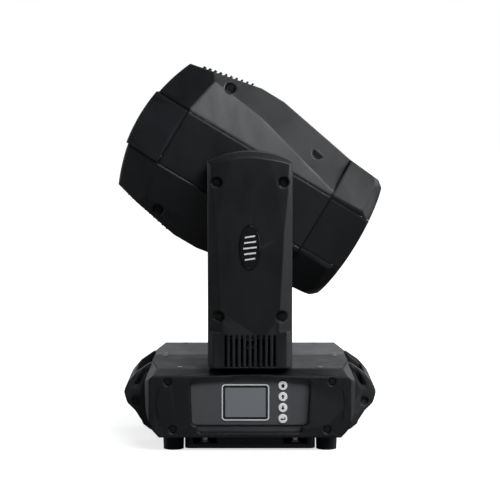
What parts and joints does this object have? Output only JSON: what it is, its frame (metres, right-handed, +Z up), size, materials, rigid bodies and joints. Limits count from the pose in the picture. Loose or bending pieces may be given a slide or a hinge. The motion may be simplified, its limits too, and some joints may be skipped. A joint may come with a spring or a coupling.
{
  "type": "moving head light",
  "caption": "Moving head beam light: a panning yoke on a base with a display, and a faceted black head that tilts in the yoke.",
  "frame": {"origin": "on the pan axis, at the level of the feet", "axes": "+Z up along the pan axis, -Y towards the display, +X towards the side that the lens points to at rest; the tilt axis is parallel to Y at z 0.355"},
  "size_m": [0.3607, 0.3108, 0.5152],
  "materials": {
    "cover_plastic": "fine satin black moulded casing",
    "handle_plastic": "black grained handle",
    "plate_paint": "dark grey powder coat",
    "tray_steel": "black powder coated sheet steel",
    "fascia_plastic": "semi gloss black fascia",
    "screen_glass": "grey screen behind a clear window",
    "button_plastic": "white round push button",
    "foot_rubber": "black rubber foot",
    "belt_rubber": "black toothed belt",
    "zinc": "zinc plated steel",
    "emblem": "oval black badge with a raised rim",
    "circuit_board": "green circuit board",
    "socket_plastic": "black insulating plastic",
    "machined": "machined aluminium",
    "bearing_steel": "ground bearing steel",
    "motor_can": "black stepper motor can",
    "optic_glass": "clear optical glass",
    "gobo_metal": "dark aluminium pattern wheel",
    "reflector_mirror": "polished reflector"
  },
  "bodies": {
    "base": {"base_chassis": "tray_steel", "base_front_cover": "cover_plastic", "base_rear_cover": "cover_plastic", "base_screws": "zinc", "base_side_covers": "cover_plastic", "base_top_plates": "plate_paint", "connector_panel": "tray_steel", "control_board": "circuit_board", "data_sockets": "socket_plastic", "display_board": "circuit_board", "display_panel": "fascia_plastic", "display_screen": "screen_glass", "handle_left": "handle_plastic", "handle_right": "handle_plastic", "lamp_ballast": "tray_steel", "pan_bracket": "tray_steel", "pan_post": "machined", "pan_pulley": "machined", "power_inlet": "socket_plastic", "power_supply": "tray_steel", "quarter_turn_receptacles": "zinc", "rubber_feet": "foot_rubber", "safety_anchor": "tray_steel"},
    "yoke": {"yoke_frame": "tray_steel", "arm_cover_front": "cover_plastic", "arm_cover_rear": "cover_plastic", "arm_inner_covers": "cover_plastic", "yoke_bridge_cover": "cover_plastic", "pan_motor": "motor_can", "pan_belt": "belt_rubber", "tilt_motor": "motor_can", "tilt_belt": "belt_rubber", "pan_bearing": "bearing_steel", "tilt_bearings": "bearing_steel", "arm_badges": "emblem", "arm_screws": "zinc"},
    "head": {"head_cover_upper": "cover_plastic", "head_cover_lower": "cover_plastic", "head_side_panels": "cover_plastic", "rear_grille": "cover_plastic", "front_bezel": "cover_plastic", "head_chassis": "tray_steel", "tilt_shafts": "machined", "tilt_pulley": "machined", "front_lens": "optic_glass", "lamp_reflector": "reflector_mirror", "discharge_lamp": "optic_glass", "head_fan_frame": "socket_plastic"},
    "pan_pinion": {"pan_motor_pulley": "machined"},
    "tilt_pinion": {"tilt_motor_pulley": "machined"},
    "color_wheel": {"color_wheel": "optic_glass"},
    "gobo_wheel": {"gobo_wheel": "gobo_metal"},
    "prism": {"prism": "optic_glass"},
    "focus": {"focus_carriage": "machined"},
    "fan_rotor": {"head_fan_rotor": "socket_plastic"},
    "button_home": {"button_home": "button_plastic"},
    "button_up": {"button_up": "button_plastic"},
    "button_down": {"button_down": "button_plastic"},
    "button_enter": {"button_enter": "button_plastic"}
  },
  "joints": [
    {"name": "pan", "type": "hinge", "parent": "base", "child": "yoke", "pos_m": [0, 0, 0.12], "axis": [0, 0, 1], "range_deg": [-270, 270]},
    {"name": "tilt", "type": "hinge", "parent": "yoke", "child": "head", "pos_m": [0, 0, 0.355], "axis": [0, 1, 0], "range_deg": [-256, 14]},
    {"name": "pan_pinion_spin", "type": "hinge", "parent": "yoke", "child": "pan_pinion", "pos_m": [0, -0.13, 0.144], "axis": [0, 0, 1], "range_deg": [-1210, 1210]},
    {"name": "tilt_pinion_spin", "type": "hinge", "parent": "yoke", "child": "tilt_pinion", "pos_m": [0, 0.116, 0.262], "axis": [0, 1, 0], "range_deg": [-1030, 60]},
    {"name": "color_wheel_spin", "type": "hinge", "parent": "head", "child": "color_wheel", "pos_m": [0.00581, 0, 0.31418], "axis": [0.8572, 0, -0.515], "continuous": true},
    {"name": "gobo_wheel_spin", "type": "hinge", "parent": "head", "child": "gobo_wheel", "pos_m": [0.04477, 0, 0.36543], "axis": [0.8572, 0, -0.515], "continuous": true},
    {"name": "prism_spin", "type": "hinge", "parent": "head", "child": "prism", "pos_m": [0.03771, 0, 0.33234], "axis": [0.8572, 0, -0.515], "continuous": true},
    {"name": "focus_slide", "type": "slide", "parent": "head", "child": "focus", "axis": [0.8572, 0, -0.515], "range_m": [-0.012, 0.012]},
    {"name": "fan_spin", "type": "hinge", "parent": "head", "child": "fan_rotor", "pos_m": [-0.08915, 0, 0.40856], "axis": [0.8572, 0, -0.515], "continuous": true},
    {"name": "press_home", "type": "slide", "parent": "base", "child": "button_home", "axis": [0, 1, 0], "range_m": [0, 0.0012], "stiffness_N_per_m": 400},
    {"name": "press_up", "type": "slide", "parent": "base", "child": "button_up", "axis": [0, 1, 0], "range_m": [0, 0.0012], "stiffness_N_per_m": 400},
    {"name": "press_down", "type": "slide", "parent": "base", "child": "button_down", "axis": [0, 1, 0], "range_m": [0, 0.0012], "stiffness_N_per_m": 400},
    {"name": "press_enter", "type": "slide", "parent": "base", "child": "button_enter", "axis": [0, 1, 0], "range_m": [0, 0.0012], "stiffness_N_per_m": 400}
  ],
  "couplings": [
    {"joint": "pan_pinion_spin", "follows": "pan", "ratio": -4.4444},
    {"joint": "tilt_pinion_spin", "follows": "tilt", "ratio": 4}
  ]
}
